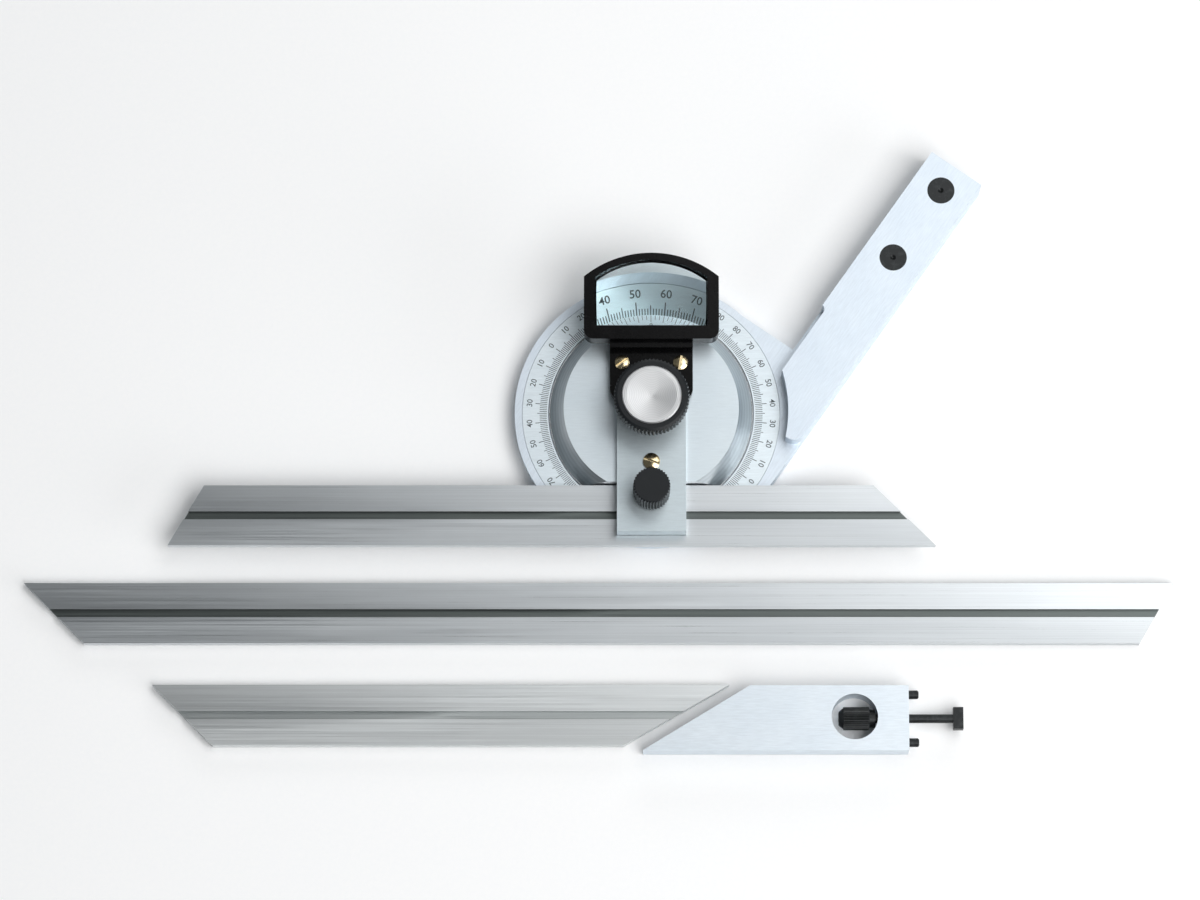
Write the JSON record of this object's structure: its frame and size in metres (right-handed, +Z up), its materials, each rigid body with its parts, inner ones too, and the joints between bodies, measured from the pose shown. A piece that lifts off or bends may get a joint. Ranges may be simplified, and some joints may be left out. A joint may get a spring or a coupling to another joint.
{
  "type": "universal bevel protractor",
  "caption": "Bevel protractor set: graduated dial with stock, swivelling grooved blade, magnifier and clamp knobs, with spare blades and an acute-angle attachment.",
  "frame": {"origin": "on the dial's pivot axis, at the level of the body's flat back, which is also the level the spare blades lie on", "axes": "+X along the blades towards their right ends, +Y across the blades towards the magnifier, +Z up from the back through the clamp knob"},
  "size_m": [0.3, 0.1599, 0.0255],
  "materials": {
    "satin_steel": "fine satin",
    "dial_satin": "matt satin with dark graduations",
    "turned_steel": "turned",
    "turned_cap": "face-turned",
    "bridge_steel": "satin",
    "blade_steel": "ground lengthwise",
    "brass": "polished",
    "black_knob": "matt, knurled",
    "black_gloss": "gloss moulding",
    "black_oxide": "black oxide",
    "lens_glass": "polished lens"
  },
  "bodies": {
    "carrier": {"turntable": "turned_steel", "vernier_plate": "dial_satin", "vernier_screws": "turned_steel", "bridge_plate": "bridge_steel", "bridge_screw": "brass", "spring_washer": "turned_steel", "knob_washer": "turned_steel", "magnifier_frame": "black_gloss", "magnifier_lens": "lens_glass", "bracket_screw_left": "brass", "bracket_screw_right": "brass"},
    "stock": {"stock_body": "satin_steel", "dial_ring": "dial_satin", "pivot_stud": "turned_steel", "outer_plug": "black_oxide", "inner_plug": "black_oxide"},
    "clamp_knob": {"clamp_knob": "black_knob", "knob_insert": "brass", "knob_cap": "turned_cap"},
    "blade_knob": {"blade_knob": "black_knob", "blade_knob_insert": "brass"},
    "clamp_pad": {"clamp_pad": "turned_steel"},
    "mounted_blade": {"blade_200": "blade_steel"},
    "long_blade": {"blade_300": "blade_steel"},
    "short_blade": {"blade_150": "blade_steel"},
    "attachment": {"attachment_bar": "satin_steel", "upper_pin": "black_oxide", "lower_pin": "black_oxide"},
    "t_bolt": {"t_bolt": "black_oxide"},
    "nut": {"knurled_nut": "black_oxide"}
  },
  "joints": [
    {"name": "stock_swing", "type": "hinge", "parent": "carrier", "child": "stock", "pos_m": [0, 0, 0], "axis": [0, 0, 1], "range_deg": [-15, 145]},
    {"name": "clamp_knob_turn", "type": "hinge", "parent": "carrier", "child": "clamp_knob", "pos_m": [0, 0, 0.02], "axis": [0, 0, 1], "range_deg": [0, 180]},
    {"name": "blade_knob_turn", "type": "hinge", "parent": "carrier", "child": "blade_knob", "pos_m": [0, -0.0233, 0.018], "axis": [0, 0, -1], "range_deg": [0, 180]},
    {"name": "clamp_pad_travel", "type": "slide", "parent": "carrier", "child": "clamp_pad", "axis": [0, 0, -1], "range_m": [0, 0.00035]},
    {"name": "blade_slide", "type": "slide", "parent": "carrier", "child": "mounted_blade", "axis": [1, 0, 0], "range_m": [-0.045, 0.1]},
    {"name": "long_blade_lift", "type": "slide", "parent": "carrier", "child": "long_blade", "axis": [0, 0, 1], "range_m": [0, 0.06]},
    {"name": "short_blade_lift", "type": "slide", "parent": "carrier", "child": "short_blade", "axis": [0, 0, 1], "range_m": [0, 0.06]},
    {"name": "attachment_lift", "type": "slide", "parent": "carrier", "child": "attachment", "axis": [0, 0, 1], "range_m": [0, 0.06]},
    {"name": "nut_turn", "type": "hinge", "parent": "attachment", "child": "nut", "pos_m": [0.0524, -0.0811, 0.00325], "axis": [-1, 0, 0], "range_deg": [0, 5400]},
    {"name": "t_bolt_draw", "type": "slide", "parent": "attachment", "child": "t_bolt", "axis": [-1, 0, 0], "range_m": [0, 0.0075]}
  ],
  "couplings": [
    {"joint": "blade_knob_turn", "follows": "clamp_pad_travel", "rad_per_m": 8975.9},
    {"joint": "nut_turn", "follows": "t_bolt_draw", "rad_per_m": 12566}
  ]
}
